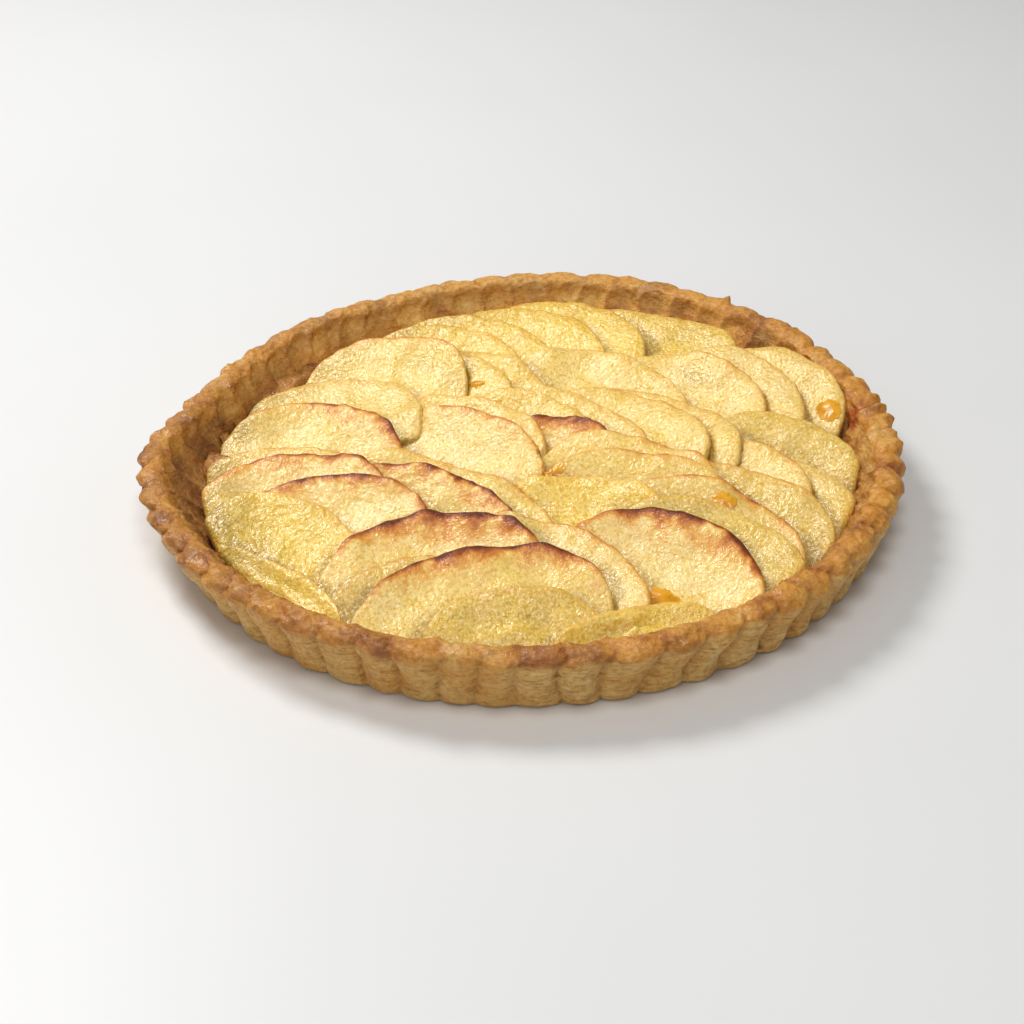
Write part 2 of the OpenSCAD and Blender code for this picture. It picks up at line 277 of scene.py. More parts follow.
def baked_apple(props):
    # Peeled apple flesh, baked soft and brushed with apricot glaze: cream in the middle,
    # yellower towards the cut rim, toasted orange to dark brown where a rim stood proud of
    # the rest, and covered by a thin grainy shine.
    mat, place = new_material("Glazed baked apple")
    toast, tint, edge, deep = (
        add_node(mat, "ShaderNodeAttribute", out="Fac", attribute_name=name)
        for name in ("toast", "tint", "edge", "deep"))
    # cloudy patches of yellower flesh are about 9 mm
    cloud = add_node(mat, "ShaderNodeTexNoise", {
        "Vector": place, "Scale": per_metre(9.09), "Detail": 4.0, "Roughness": 0.6},
        out="Fac")
    # the flesh breaks into cells well under a millimetre; drawn at about 1 mm to show
    cells = add_node(mat, "ShaderNodeTexNoise", {
        "Vector": place, "Scale": per_metre(1.053), "Detail": 2.0, "Roughness": 0.7},
        out="Fac")
    # beads of set glaze, about 1.6 mm, give the small bright glints
    beads = add_node(mat, "ShaderNodeTexNoise", {
        "Vector": place, "Scale": per_metre(1.563), "Detail": 2.0, "Roughness": 0.6},
        out="Fac")
    cloudy = add_node(mat, "ShaderNodeValToRGB", {"Fac": cloud}, stops=(
        (0.4, 0.0), (0.64, 0.6)))
    dark_cells = add_node(mat, "ShaderNodeValToRGB", {"Fac": cells}, stops=(
        (0.34, 0.6), (0.48, 0.0)))
    # the paler cells are partly the flesh's own grain and partly painted glints
    pale_cells_and_glints = add_node(mat, "ShaderNodeValToRGB", {"Fac": cells}, stops=(
        (0.54, 0.0), (0.66, 0.5)))
    # the beads make the browning uneven, 0.2 either way
    uneven = add_node(mat, "ShaderNodeMath", {0: beads, 1: 0.4, 2: toast},
                      operation="MULTIPLY_ADD")
    browned = add_node(mat, "ShaderNodeMath", {0: uneven, 1: 0.2}, operation="SUBTRACT")
    burnt = add_node(mat, "ShaderNodeValToRGB", {"Fac": browned}, stops=(
        (0.0, linear("f0cc7c")), (0.2, props.toast_gold), (0.42, linear("c8782a")),
        (0.64, props.toast_brown), (0.95, props.toast_dark)))
    brown = add_node(mat, "ShaderNodeValToRGB", {"Fac": browned}, stops=(
        (0.02, 0.0), (0.24, 1.0)))
    # what lies over the pale flesh, one on another: how much of it, its colour, its blend
    body = props.flesh
    # deep paints shade into the dips between slices. It also darkens wetter faces and faces
    # towards the left wall to olive, which is partly wet flesh and partly painted shade.
    for share, shade, blend in (
            (tint, props.flesh_yellow, "MIX"), (cloudy, props.flesh_yellow, "MIX"),
            (edge, props.rim_yellow, "MIX"), (deep, props.flesh_shade_and_wet, "MIX"),
            (dark_cells, linear("dab04a"), "MULTIPLY"), (pale_cells_and_glints, linear("fff1bc"), "MIX"),
            (brown, burnt, "MIX")):
        body = add_node(mat, "ShaderNodeMix", {0: share, 6: body, 7: shade}, out=2,
                        data_type="RGBA", blend_type=blend)
    bead_bump = add_node(mat, "ShaderNodeBump", {
        "Height": beads, "Strength": 0.5, "Distance": 0.0012})
    bump = add_node(mat, "ShaderNodeBump", {
        "Height": cells, "Normal": bead_bump, "Strength": 0.38, "Distance": 0.0005})
    # where a rim has browned it has dried out, so the glaze shines less there
    moist = add_node(mat, "ShaderNodeValToRGB", {"Fac": cloud}, stops=(
        (0.4, 0.5), (0.58, 0.3)))
    roughness = add_node(mat, "ShaderNodeMix", {0: toast, 6: moist, 7: (0.62, 0.62, 0.62, 1)},
                         out=2, data_type="RGBA")
    coat = add_node(mat, "ShaderNodeMapRange", {"Value": toast, "To Min": 0.5, "To Max": 0.04})
    shader = add_node(mat, "ShaderNodeBsdfPrincipled", {
        "Base Color": body, "Roughness": roughness, "Normal": bump, "IOR": 1.4,
        "Subsurface Weight": 0.1, "Subsurface Radius": (0.003, 0.002, 0.0008),
        "Subsurface Scale": 1.0, "Coat Weight": coat, "Coat Roughness": 0.12,
        "Coat Normal": bead_bump})
    add_node(mat, "ShaderNodeOutputMaterial", {"Surface": shader})
    return mat


def apricot_glaze(props):
    # Sieved apricot jam, set to a clear amber jelly with fine pulp in it.
    mat, place = new_material("Apricot jam")
    thin = add_node(mat, "ShaderNodeAttribute", out="Fac", attribute_name="thin")
    # clouds of pulp are about 4 mm
    pulp = add_node(mat, "ShaderNodeTexNoise", {
        "Vector": place, "Scale": per_metre(3.846), "Detail": 4.0, "Roughness": 0.6},
        out="Fac")
    body = add_node(mat, "ShaderNodeValToRGB", {"Fac": pulp}, stops=(
        (0.35, linear("cd8a12")), (0.52, props.jam), (0.68, linear("f0b43a"))))
    # at its thin rim the pale apple shows through it
    body = add_node(mat, "ShaderNodeMix", {0: thin, 6: body, 7: linear("ecbb50")},
                    out=2, data_type="RGBA")
    bump = add_node(mat, "ShaderNodeBump", {
        "Height": pulp, "Strength": 0.25, "Distance": 0.0005})
    shader = add_node(mat, "ShaderNodeBsdfPrincipled", {
        "Base Color": body, "Normal": bump, "IOR": 1.42, "Roughness": 0.22,
        "Coat Weight": 0.1, "Subsurface Weight": 0.06,
        "Subsurface Radius": (0.003, 0.0015, 0.0004), "Subsurface Scale": 1.0})
    add_node(mat, "ShaderNodeOutputMaterial", {"Surface": shader})
    return mat


def painted_floor(props):
    # A smooth painted studio floor, faintly mottled over about 170 mm so that it isn't flat.
    mat, place = new_material("Pale studio floor")
    mottle = add_node(mat, "ShaderNodeTexNoise", {
        "Vector": place, "Scale": per_metre(166.7), "Detail": 3.0}, out="Fac")
    body = add_node(mat, "ShaderNodeMix", {0: mottle, 6: props.floor, 7: linear("e6e7e8")},
                    out=2, data_type="RGBA")
    shader = add_node(mat, "ShaderNodeBsdfPrincipled", {"Base Color": body, "Roughness": 0.45})
    add_node(mat, "ShaderNodeOutputMaterial", {"Surface": shader})
    return mat


# ---------------------------------------------------------------- the stack of slices

GRID = 1.0    # spacing of the height grid, mm
REACH = 122   # half-width of the height grid, mm


class Stack:
    """Heights of what is laid in the tart so far, on a grid over the whole base."""

    def __init__(self, floor):
        side = int(2 * REACH / GRID) + 1
        axis = np.linspace(-REACH, REACH, side)
        self.x, self.y = np.meshgrid(axis, axis)
        self.top = np.full((side, side), float(floor))
        self.under = np.full((side, side), 99.0)
        self.face = np.full((side, side), float(floor))
        self.ceiling = np.full((side, side), 99.0)

    def window(self, middle, size):
        """The part of the grid within size of a point."""
        spans = []
        for c in (middle[1], middle[0]):
            first = max(0, int((c - size + REACH) / GRID))
            spans.append(slice(first, int((c + size + REACH) / GRID) + 2))
        return tuple(spans)

    def at(self, field, x, y):
        """The field's value at points, between grid points too."""
        fx = np.clip((np.asarray(x) + REACH) / GRID, 0, field.shape[1] - 1.001)
        fy = np.clip((np.asarray(y) + REACH) / GRID, 0, field.shape[0] - 1.001)
        ix, iy = fx.astype(int), fy.astype(int)
        tx, ty = fx - ix, fy - iy
        return ((field[iy, ix] * (1 - tx) + field[iy, ix + 1] * tx) * (1 - ty)
                + (field[iy + 1, ix] * (1 - tx) + field[iy + 1, ix + 1] * tx) * ty)


def blur(values, weight, reach):
    """Evens out values where weight is 1, over about reach grid steps."""
    width = 2 * reach + 1

    def run(a):
        for axis in (0, 1):
            for _ in range(2):
                pad = [(0, 0), (0, 0)]
                pad[axis] = (reach + 1, reach)
                c = np.cumsum(np.pad(a, pad), axis=axis)
                n = a.shape[axis]
                high = np.take(c, range(width, width + n), axis=axis)
                low = np.take(c, range(0, n), axis=axis)
                a = (high - low) / width
        return a

    share = run(weight)
    return np.where(weight > 0, run(values * weight) / np.maximum(share, 1e-9), values)


def bed_field(stack, spot, bed, cover):
    """A whole grid that holds what a slice lies on, kept sensible just past its rim."""
    field = stack.top.copy()
    level = bed[cover > 0].mean()
    field[spot] = np.where(cover > 0, bed, level)
    near = cover.copy()
    for _ in range(3):
        grown = near.copy()
        part = field[spot] * near
        for axis in (0, 1):
            for step in (-1, 1):
                moved = np.roll(near, step, axis)
                grown = grown + moved
                part = part + np.roll(field[spot] * near, step, axis)
        fresh = (near == 0) & (grown > 0)
        field[spot] = np.where(fresh, part / np.maximum(grown, 1e-9), field[spot])
        near = np.where(fresh, 1.0, near)
    return field


class Leaf:
    """The outline from above, direction and resting plane of one CAD slice or pool."""

    def __init__(self, name):
        bm = bmesh.new()
        bm.from_mesh(frame["nodes"][name].data)
        bmesh.ops.remove_doubles(bm, verts=bm.verts, dist=1e-6)
        points = [Vector((v.co.x * 1000, v.co.y * 1000)) for v in bm.verts]
        hull = [points[i] for i in convex_hull_2d(points)]
        self.hull = np.array([(p.x, p.y) for p in hull])
        # its underside: the largest flat area that faces down
        areas = {}
        for face in bm.faces:
            if face.normal.z < -0.5:
                n = face.normal
                key = (round(n.x, 2), round(n.y, 2), round(n.z, 2),
                       round(n.dot(face.calc_center_median()) * 1000, 0))
                found = areas.setdefault(key, [0.0, n.copy(), face.calc_center_median()])
                found[0] += face.calc_area()
        bm.free()
        _, n, c = max(areas.values(), key=lambda a: a[0])
        self.slope = (-n.x / n.z, -n.y / n.z)
        self.level = c.z * 1000 - self.slope[0] * c.x * 1000 - self.slope[1] * c.y * 1000
        # its direction: the long side of the smallest rectangle round it
        best = None
        for a, b in zip(self.hull, np.roll(self.hull, -1, axis=0)):
            t = math.atan2(b[1] - a[1], b[0] - a[0])
            e = np.array((math.cos(t), math.sin(t)))
            n = np.array((-e[1], e[0]))
            u, v = self.hull @ e, self.hull @ n
            size = (np.ptp(u), np.ptp(v))
            if best is None or size[0] * size[1] < best[0]:
                best = (size[0] * size[1], e if size[0] >= size[1] else n)
        e = best[1] if best[1][0] > 0 else -best[1]
        self.along = e
        self.across = np.array((-e[1], e[0]))
        u, v = self.hull @ self.along, self.hull @ self.across
        self.half = np.ptp(u) / 2
        self.depth = np.ptp(v)
        self.middle = (self.along * (u.max() + u.min()) / 2
                       + self.across * (v.max() + v.min()) / 2)

    def radius(self, turn):
        """Distance from the middle to the outline in directions turn."""
        d = np.stack([np.cos(turn), np.sin(turn)], -1)
        a = self.hull - self.middle
        b = np.roll(a, -1, axis=0)
        edge = b - a
        cross = d[:, None, 0] * edge[None, :, 1] - d[:, None, 1] * edge[None, :, 0]
        cross = np.where(np.abs(cross) < 1e-9, 1e-9, cross)
        t = (a[None, :, 0] * edge[None, :, 1] - a[None, :, 1] * edge[None, :, 0]) / cross
        s = (a[None, :, 0] * d[:, None, 1] - a[None, :, 1] * d[:, None, 0]) / cross
        ok = (t > 0) & (s >= -1e-6) & (s <= 1 + 1e-6)
        return np.where(ok, t, 1e9).min(axis=1)

    def reach(self, turn):
        """That distance with the outline's corners softened."""
        if not hasattr(self, "soft"):
            around = np.linspace(-math.pi, math.pi, 360, endpoint=False)
            sharp = self.radius(around)
            self.soft = sum(np.roll(sharp, k) for k in range(-2, 3)) / 5
        place = (np.asarray(turn) + math.pi) / (2 * math.pi) * 360
        low = np.floor(place).astype(int)
        t = place - low
        return self.soft[low % 360] * (1 - t) + self.soft[(low + 1) % 360] * t

    def plane(self, x, y):
        """Height of its resting plane at points."""
        return self.level + self.slope[0] * x + self.slope[1] * y


def relief(leaf, sizes, x, y, inset):
    """How one slice bends, at points inset from its rim: its face above what it lies on,
    the lift of its round edge, its ripple, its folds, and how near the round edge it is
    from -1 to 1. All but the last in mm."""
    soft, crown = sizes.slice_round * 1000, sizes.slice_crown * 1000
    share = ((x - leaf.middle[0]) * leaf.across[0]
             + (y - leaf.middle[1]) * leaf.across[1]) / (leaf.depth / 2)
    ripple = sizes.slice_wave * 1000 * np.array([
        rough(a, b, 0, 15.0, leaf.seed) + 0.5 * rough(a, b, 0, 6.0, leaf.seed + 2)
        + 0.25 * rough(a, b, 0, 2.6, leaf.seed + 3) for a, b in zip(x, y)])
    fold = np.array([rough(a, b, 0, 11.0, leaf.seed + 9) for a, b in zip(x, y)])
    stand = smooth(-0.95, 0.35, share)
    lift = stand * (sizes.slice_lift * 1000 * (1 - smooth(0.0, 18.0, inset))
                    + 1.5 * leaf.curl * (1 - smooth(0.0, 8.0, inset)) * (0.6 + 1.1 * fold))
    swell = crown * (1 - np.exp(-inset / 4.0)) * (0.75 + 0.5 * fold)
    rounded = np.clip(1 - inset / soft, 0, 1)
    drop = leaf.thick * 0.5 * (1 - np.sqrt(np.clip(1 - rounded ** 2, 0, 1)))
    body = leaf.thick * (0.62 + 0.4 * stand)
    return body + ripple + lift + swell - 0.3 - drop, lift, ripple, fold, share


def leaf_sheet(bm, middle, along, across, reach, columns, rows, seed, uneven):
    """A flat sheet of quads inside an outline: a grid eased into shape, closer together
    towards its rim. Returns x, y and the distance from the rim of each of bm.verts."""
    bmesh.ops.create_grid(bm, x_segments=columns, y_segments=rows, size=1.0)
    bm.verts.ensure_lookup_table()
    s = np.array([v.co.x for v in bm.verts])
    t = np.array([v.co.y for v in bm.verts])
    x, y = s * np.sqrt(1 - t * t / 2), t * np.sqrt(1 - s * s / 2)
    share = np.minimum(np.hypot(x, y), 1.0)
    share = 1 - (1 - share) ** 1.55
    local = np.arctan2(y, x)
    facing = np.stack([np.cos(local), np.sin(local)], -1)
    facing = facing[:, :1] * along + facing[:, 1:] * across
    turn = np.arctan2(facing[:, 1], facing[:, 0])
    limit = reach(turn)
    for i, angle in enumerate(turn):
        limit[i] += uneven * (
            rough(math.cos(angle) * 2, math.sin(angle) * 2, seed, 1.0, seed)
            + 0.4 * rough(math.cos(angle) * 7, math.sin(angle) * 7, seed, 1.0, seed) - 0.5)
    for v, q, r, f in zip(bm.verts, share, limit, facing):
        v.co = (middle[0] + q * r * f[0], middle[1] + q * r * f[1], 0.0)
    x = np.array([v.co.x for v in bm.verts])
    y = np.array([v.co.y for v in bm.verts])
    return x, y, (1 - share) * limit


def thicken(bm, over, under):
    """Doubles a sheet into a closed slab between two heights, given point by point.
    Returns, for each of bm.verts, the number of the sheet's point that it comes from."""
    low = list(bm.verts)
    made = bmesh.ops.extrude_face_region(bm, geom=bm.faces[:])
    high = [g for g in made["geom"] if isinstance(g, bmesh.types.BMVert)]
    number = {(round(v.co.x, 5), round(v.co.y, 5)): i for i, v in enumerate(low)}
    for v in high:
        v.co.z = over[number[(round(v.co.x, 5), round(v.co.y, 5))]]
    for v, z in zip(low, under):
        v.co.z = z
    bmesh.ops.recalc_face_normals(bm, faces=bm.faces)
    return [number[(round(v.co.x, 5), round(v.co.y, 5))] for v in bm.verts]


# ---------------------------------------------------------------- sizes and colours

# How each slice came out of the oven: how toasted its rim is, how yellow it is, and how
# far its rim curled up, mm.
BAKE = {
    "1a": (0.05, 0.75, 0.2), "1b": (0.0, 0.95, 0.2), "1c": (0.0, 0.95, 0.2),
    "1d": (0.05, 0.95, 0.3), "1e": (0.1, 0.9, 0.3),
    "2a": (0.1, 0.5, 0.3), "2b": (0.15, 0.4, 0.3), "2c": (0.15, 0.35, 0.4),
    "2d": (0.25, 0.3, 0.6), "2e": (0.1, 0.35, 0.4), "2f": (0.1, 0.5, 0.4),
    "2g": (0.1, 0.55, 0.4), "2h": (0.35, 0.5, 0.8),
    "3a": (0.05, 0.75, 0.3), "3b": (0.1, 0.45, 0.3), "3c": (0.3, 0.3, 0.4),
    "3dA": (0.25, 0.5, 0.5), "3dB": (0.2, 0.5, 0.4), "3dC": (0.2, 0.5, 0.4),
    "3dD": (0.1, 0.6, 0.4), "3dE": (0.2, 0.6, 0.4), "3e": (0.45, 0.3, 0.8),
    "3f": (0.2, 0.4, 0.4), "3g": (0.7, 0.35, 0.9),
    "4h": (0.3, 0.6, 0.5), "4f0": (0.3, 0.55, 0.4), "4f": (0.35, 0.6, 0.4),
    "4e": (0.9, 0.25, 1.0), "4i": (0.45, 0.45, 0.6), "4g": (0.15, 0.95, 0.4),
    "4j": (0.15, 0.7, 0.4), "4k": (0.3, 0.6, 0.4), "4l": (0.3, 0.4, 0.4),
    "4a0": (0.25, 0.6, 0.4), "4b": (0.9, 0.35, 0.9), "4a": (0.75, 0.3, 0.8),
    "4c": (0.95, 0.15, 1.0), "4d": (0.1, 1.0, 0.5),
    "5a": (1.0, 0.15, 1.0), "5b": (0.3, 0.2, 0.5), "5c": (1.0, 0.2, 1.2),
    "5d": (0.35, 0.7, 0.6), "5e": (0.95, 0.4, 1.0), "5f": (0.15, 0.9, 0.4),
    "5g": (0.2, 0.9, 0.4), "5h": (0.15, 0.85, 0.4),
}

# Slices whose faces are painted darker and greener than the rest: partly wetter flesh, partly
# painted shade.
WET_AND_SHADED = {"5d": 0.4, "5e": 0.1, "5f": 0.3, "4d": 0.1, "3a": 0.25, "3b": 0.15, "4h": 0.25,
       "4i": 0.25, "4j": 0.3, "2c": 0.15, "1a": 0.15, "1d": 0.1, "3f": 0.1, "4f": 0.15}

# How far a pool of glaze ran from where it fell before it set, mm.
RUN = {"glaze_front": (4.5, 2.0), "glaze_middle": (0.0, -1.5), "glaze_back": (0.0, -1.0)}

# How the rim wanders from a true circle by direction: degrees, mm out, mm up.
WANDER = np.array([
    (-180, 5.4, 0.2), (-171, 4.9, 0.2), (-158, 2.7, 0.0), (-130, 0.4, -0.5),
    (-90, 0.0, -0.8), (-50, 0.2, -0.5), (-15, 0.0, -0.6), (5, -0.9, -1.1),
    (20, -0.6, -0.6), (40, 0.8, 0.4), (58, 1.4, 0.8), (70, 2.8, 1.2), (84, 2.0, 1.0),
    (100, 0.2, 0.6), (116, -1.0, 0.1), (127, -0.5, 0.4), (147, -1.6, -0.3),
    (159, -2.0, -0.6), (168, -0.2, -0.2), (174, 3.0, 0.0), (180, 5.4, 0.2),
]).T

# How much of a twisted rope the rim is: degrees, share.
ROPE = np.array([(-180, 1), (-150, 0.75), (-120, 0.35), (-60, 0.25), (20, 0.2), (60, 0.25),
                 (100, 0.35), (150, 0.6), (180, 1)]).T

# How soaked with syrup the inside of the wall is: degrees, share.
SOAK = np.array([(-180, 1), (-60, 0.6), (0, 0.5), (40, 0.3), (75, 0), (110, 0), (150, 0.6),
                 (180, 1)]).T

# Flakes of dough that tore up along the rim: direction in degrees, mm up, half width in
# degrees.
TEARS = ((6.5, 2.6, 0.7), (3.2, 1.8, 0.6), (-4.5, 1.6, 0.7), (-1.0, 0.9, 0.4),
         (10.5, 1.1, 0.5), (51.5, 2.2, 0.5), (-176, 0.7, 0.7), (36, 0.8, 0.8))

# Where a blob of jam is stuck to the inside of the wall, mm.
JAM_AT = (107.5, 14.0, 17.5)


class TartSizes(bpy.types.PropertyGroup):
    """Sizes of the tart's pieces"""
    flute_count: bpy.props.IntProperty(
        name="Flutes", description="Number of flutes round the wall", default=59, min=30,
        max=80)
    flute_depth: length("Flute depth", "How far a flute stands out and in", 1.3)
    crest_lump: length("Rim lumps", "Height of the lumps along the rim", 1.1)
    slice_thickness: length("Slice thickness", "Thickness of a baked slice", 3.3)
    slice_round: length("Slice rounding", "How far in a slice's rim is rounded", 1.3)
    slice_wave: length("Slice waviness", "How far a slice's face rises and dips", 0.95)
    slice_crown: length("Slice crown", "How far a slice's face swells", 1.2)
    slice_lift: length("Slice lift", "How far a slice's round edge stands up", 3.0)
    glaze_depth: length("Glaze depth", "Depth of a pool of glaze at its middle", 0.58)


class TartColours(bpy.types.PropertyGroup):
    """Colours of the tart's finishes"""
    crust_pale: colour("Pale crust", "Palest layers of the wall", "e4c07a")
    crust_wall: colour("Crust", "Most of the wall", "d4a455")
    crust_shadow: colour("Crust shadow", "Gaps between the layers", "ac7d3c")
    crust_gold: colour("Golden crust", "Golden patches", "d6963a")
    crust_toast: colour("Toasted crust", "Rim of the crust", "c4822e")
    crust_brown: colour("Brown crust", "Darkest part of the rim", "9c5c20")
    filling: colour("Filling", "Spiced filling", "7d4a30")
    flesh: colour("Apple", "Pale face of a slice", "fee49c")
    flesh_yellow: colour("Yellow apple", "Yellower faces", "f4cf50")
    # painted shade: the darker olive of faces down in the dips, also the tint of wetter faces
    flesh_shade_and_wet: colour("Wet and shaded apple", "Faces down in the dips", "ae903a")
    rim_yellow: colour("Slice rim", "Rim of a slice", "efb840")
    toast_gold: colour("Golden toast", "First browning of a rim", "e6a646")
    toast_brown: colour("Brown toast", "Browned rim", "9c4c12")
    toast_dark: colour("Dark toast", "Darkest part of a rim", "632806")
    jam: colour("Apricot glaze", "Pools of glaze", "e2a01c")
    floor: colour("Floor", "Studio floor", "dfe0e1")


class TartStage(bpy.types.PropertyGroup):
    """Camera and light"""
    lens: bpy.props.FloatProperty(
        name="Lens", description="Focal length on a 36 mm sensor", default=70.3, min=20,
        max=200, unit="CAMERA")
    elevation: bpy.props.FloatProperty(
        name="Elevation", description="Height of the view above the horizon",
        default=math.radians(32.4), subtype="ANGLE")
    roll: bpy.props.FloatProperty(
        name="Roll", description="How far the camera leans", default=math.radians(-1.73),
        subtype="ANGLE")
    distance: length("Distance", "Camera to the tart", 649.8, 0.2, 3.0)
    key: bpy.props.FloatProperty(
        name="Key light", description="Power of the large soft light", default=9.0,
        unit="POWER", min=0)
    fill: bpy.props.FloatProperty(
        name="Fill light", description="Power of the light near the camera", default=3.0,
        unit="POWER", min=0)


# ---------------------------------------------------------------- pieces


class Shell:
    """The pastry shell: its turned outline, and what baking does to it. All in mm."""

    def __init__(self, sizes):
        _, high = node_box_mm("pastry_shell")
        filling_low, _ = node_box_mm("filling")
        self.flutes = sizes.flute_count
        self.deep = sizes.flute_depth * 1000
        self.lump = sizes.crest_lump * 1000
        self.rim = 118.0                        # radius of the rim where it is round
        self.foot = self.rim - 6.0              # radius of the wall at its foot
        self.half = 4.4                         # half the thickness of the rim
        self.mid = self.rim - 0.4 - self.half   # radius of the rim's crest
        self.shoulder = 18.9                    # height where the wall turns into the rim
        self.top = high[2]
        self.floor = filling_low[2] - 0.15      # the base, just under the filling

    def profile(self):
        """Its outline: out along the underside, up the wall, over the rim and back in."""
        foot, mid, half, shoulder = self.foot, self.mid, self.half, self.shoulder
        up, over, down = 14, 10, 9              # steps up, over and down
        points = [(0, 0), (70, 0), (foot - 5, 0.0), (foot - 2.4, 0.1), (foot - 1.0, 0.9)]
        for i in range(1, up + 1):
            t = i / up
            points.append((foot - 1.0 + (self.rim - foot + 0.6) * t ** 0.95
                           - 0.7 * math.sin(math.pi * t) ** 2, 0.9 + 18.0 * t))
        for i in range(1, over):
            t = math.pi * i / over
            points.append((mid + half * math.cos(t),
                           shoulder + (self.top - 1.0 - shoulder) * math.sin(t) ** 0.72))
        for i in range(down + 1):
            t = i / down
            points.append((mid - half - 8.0 * t ** 1.1, shoulder + (self.floor - shoulder) * t))
        return points + [(self.rim - 24, self.floor), (0, self.floor)]

    def bake(self, v, marks):
        """Moves a point of the turned shell to its flute, lump or tear, and marks how
        toasted, soaked and jammy it is, and the painted shade in its flute grooves."""
        x, y, z = v.co
        r = math.hypot(x, y)
        if r < self.mid - self.half - 9.5:
            v[marks["inside"]] = 1.0 if z > 1 else 0.0
            return
        a = math.atan2(y, x)
        d = math.degrees(a)
        twist = float(np.interp(d, *ROPE))
        rise = float(smooth(1.0, 19.0, z))
        over = float(smooth(17.8, self.top - 1.4, z))
        outer = r > self.mid - (self.rim - self.foot - 1.0) * (1 - min(z, 19.0) / 19.0)
        # the flutes lean like the strands of a rope across the rim and down the wall
        slant = (0.5 * twist * (self.mid - r) / self.half * over + 0.45 * twist * (1 - rise)
                 + 0.34 * rough(x, y, z, 21.0, 12.0) + 0.1 * rough(x, y, z, 6.0, 13.0))
        number = a * self.flutes / (2 * math.pi) + slant
        ridge = abs(math.sin(math.pi * number))
        lobe = ridge ** (0.62 + 0.3 * rough(x, y, 0, 20.0, 21.0))
        own = noise.noise(Vector((math.floor(number) * 1.37, 4.2, 0.3)))
        # flutes are deepest outside at the front right, and fade on the rim unless twisted
        swing = self.deep * (0.6 + 0.4 * min(1.0, z / 6)) * (1 + 0.6 * own)
        swing *= (1.1 + 0.6 * math.exp(-((d + 35) / 40) ** 2)) if outer else 1.0
        swing *= 1 - 0.6 * over * (1 - twist)
        grain = (0.8 * rough(x, y, z, 15.0, 3.0) + 0.55 * rough(x, y, z * 1.4, 5.5, 5.0)
                 + 0.38 * rough(x, y, z * 2.0, 2.2, 8.0))
        flakes = 0.22 * rough(x, y, z * 8, 9.0, 2.0) if outer else 0.0
        out = float(np.interp(d, WANDER[0], WANDER[1]))
        grow = swing * (2 * lobe - 1.5) + (grain + flakes) * (0.35 + 0.65 * rise) + out * rise
        tear = sum(tall * math.exp(-((d - place) / wide) ** 2) for place, tall, wide in TEARS)
        tear *= 1 if r > self.mid else 0.3
        k = (r + grow + (0.8 * tear * over if outer else 0.0)) / r
        bumpy = ((lobe - 0.7) * self.lump * (0.35 + 0.5 * twist) * (1 + 0.9 * own)
                 + 0.75 * rough(x, y, 0, 13.0, 6.0) + 0.65 * rough(x, y, 0, 4.0, 16.0)
                 + 0.45 * rough(x, y, 0, 1.9, 26.0))
        up = float(np.interp(d, WANDER[0], WANDER[2]))
        height = z + over * (bumpy + up + tear)
        # lumps that would come out of the shell's box are pressed down smoothly
        limit = self.top - 0.9
        if height > limit:
            height = limit + 0.88 * math.tanh((height - limit) / 1.2)
        if z < 0.4 and r < self.foot - 2:
            height = 0.0
        v.co = (x * k, y * k, height)
        # the rim is paler towards the back: partly less toasting, partly painted light falling
        # on the back of the rim
        back = math.exp(-((d - 95) / 45) ** 2)
        v[marks["toast"]] = float((1 - 0.6 * back) * smooth(
            17.6 - 3.6 * twist, 21.2 - 2.4 * twist, z + 3.0 * rough(x, y, z, 9.0, 9.0)))
        v[marks["jam"]] = float((not outer) * smooth(
            6.5, 3.0, math.dist((x, y, z), JAM_AT) + 2.5 * rough(x, y, z, 3.5, 33.0)))
        damp = float(np.clip(np.interp(d, *SOAK) + 0.5 * rough(x, y, z, 12.0, 31.0), 0, 1))
        v[marks["soak"]] = damp
        inside = 1 - smooth(14.0, 20.5, z + 2.4 * rough(x, y, z, 9.0, 7.0))
        v[marks["inside"]] = float(np.clip(
            (0.0 if outer else inside) + 0.55 * over * damp ** 2, 0, 1))
        # painted shade down in the flute grooves, most on the twisted rim
        v[marks["groove_shade"]] = float(0.6 * (1 - smooth(0.0, 0.45, ridge)) * (1 + own)
                                   * (0.3 + 0.7 * max(over * twist, 0.4 * rise)))


class TART_OT_crust(bpy.types.Operator):
    """Pastry shell: a turned profile, fluted, crimped and torn as baked dough is"""
    bl_idname = "tart.crust"
    bl_label = "Pastry shell"

    def execute(self, context):
        shell = Shell(context.scene.tart_sizes)
        bm = bmesh.new()
        chain = [bm.verts.new((r, 0, z)) for r, z in shell.profile()]
        edges = [bm.edges.new(pair) for pair in zip(chain, chain[1:])]
        bmesh.ops.spin(bm, geom=chain + edges, cent=(0, 0, 0), axis=(0, 0, 1),
                       dvec=(0, 0, 0), angle=2 * math.pi, steps=shell.flutes * 8,
                       use_merge=True, use_duplicate=False)
        bmesh.ops.remove_doubles(bm, verts=bm.verts, dist=1e-4)
        # the flat base stays coarse
        wall = [e for e in bm.edges
                if all(math.hypot(v.co.x, v.co.y) > shell.rim - 30 for v in e.verts)]
        bmesh.ops.subdivide_edges(bm, edges=wall, cuts=1, use_grid_fill=True)
        marks = {k: bm.verts.layers.float.new(k)
                 for k in ("toast", "inside", "groove_shade", "soak", "jam")}
        for v in bm.verts:
            shell.bake(v, marks)
        # keep the baked wall inside the shell's own box, and its foot flat
        low, high = node_box_mm("pastry_shell")
        for v in bm.verts:
            v.co = np.clip(v.co, low + 0.01, high - 0.01)
            if v.co.z < 0.06:
                v.co.z = 0.0
        bmesh.ops.recalc_face_normals(bm, faces=bm.faces)
        finish_piece(bm, "baked_shell", baked_shortcrust(context.scene.tart_colours),
                     "baked_shortcrust", "pastry_shell")
        return {"FINISHED"}


